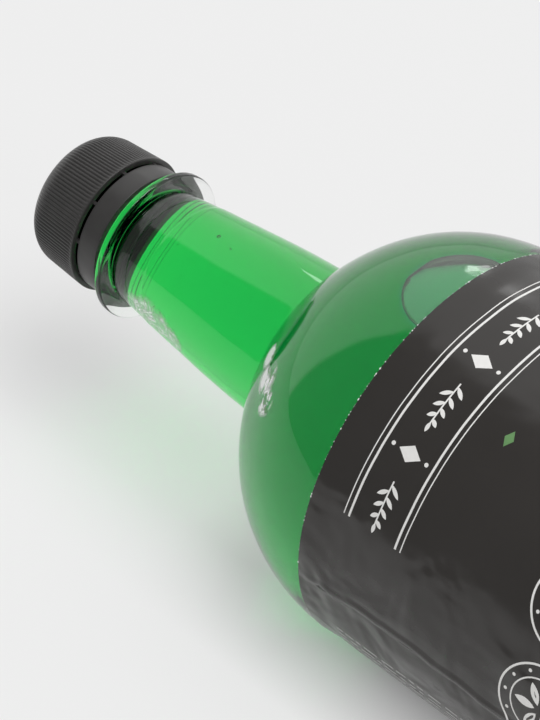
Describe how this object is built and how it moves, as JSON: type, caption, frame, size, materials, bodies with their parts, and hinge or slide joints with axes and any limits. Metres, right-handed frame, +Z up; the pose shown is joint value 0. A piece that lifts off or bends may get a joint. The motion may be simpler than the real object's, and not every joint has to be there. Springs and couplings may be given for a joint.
{
  "type": "syrup bottle",
  "caption": "Clear bottle of green drink syrup lying on its side, with round shoulder, flared neck, ribbed screw closure and wrap label.",
  "frame": {"origin": "on the surface the bottle lies on, under the middle of its length and on its centre plane", "axes": "+X along the bottle's axis from base to closure, +Z up, +Y across"},
  "size_m": [0.27, 0.0834, 0.0831],
  "materials": {
    "clear_plastic": "clear blown bottle plastic, glossy",
    "green_syrup": "clear green syrup",
    "black_closure": "satin black moulded plastic",
    "black_film": "satin black printed film"
  },
  "bodies": {
    "root": {"bottle": "clear_plastic", "syrup": "green_syrup", "cap": "black_closure", "label": "black_film"}
  },
  "joints": []
}
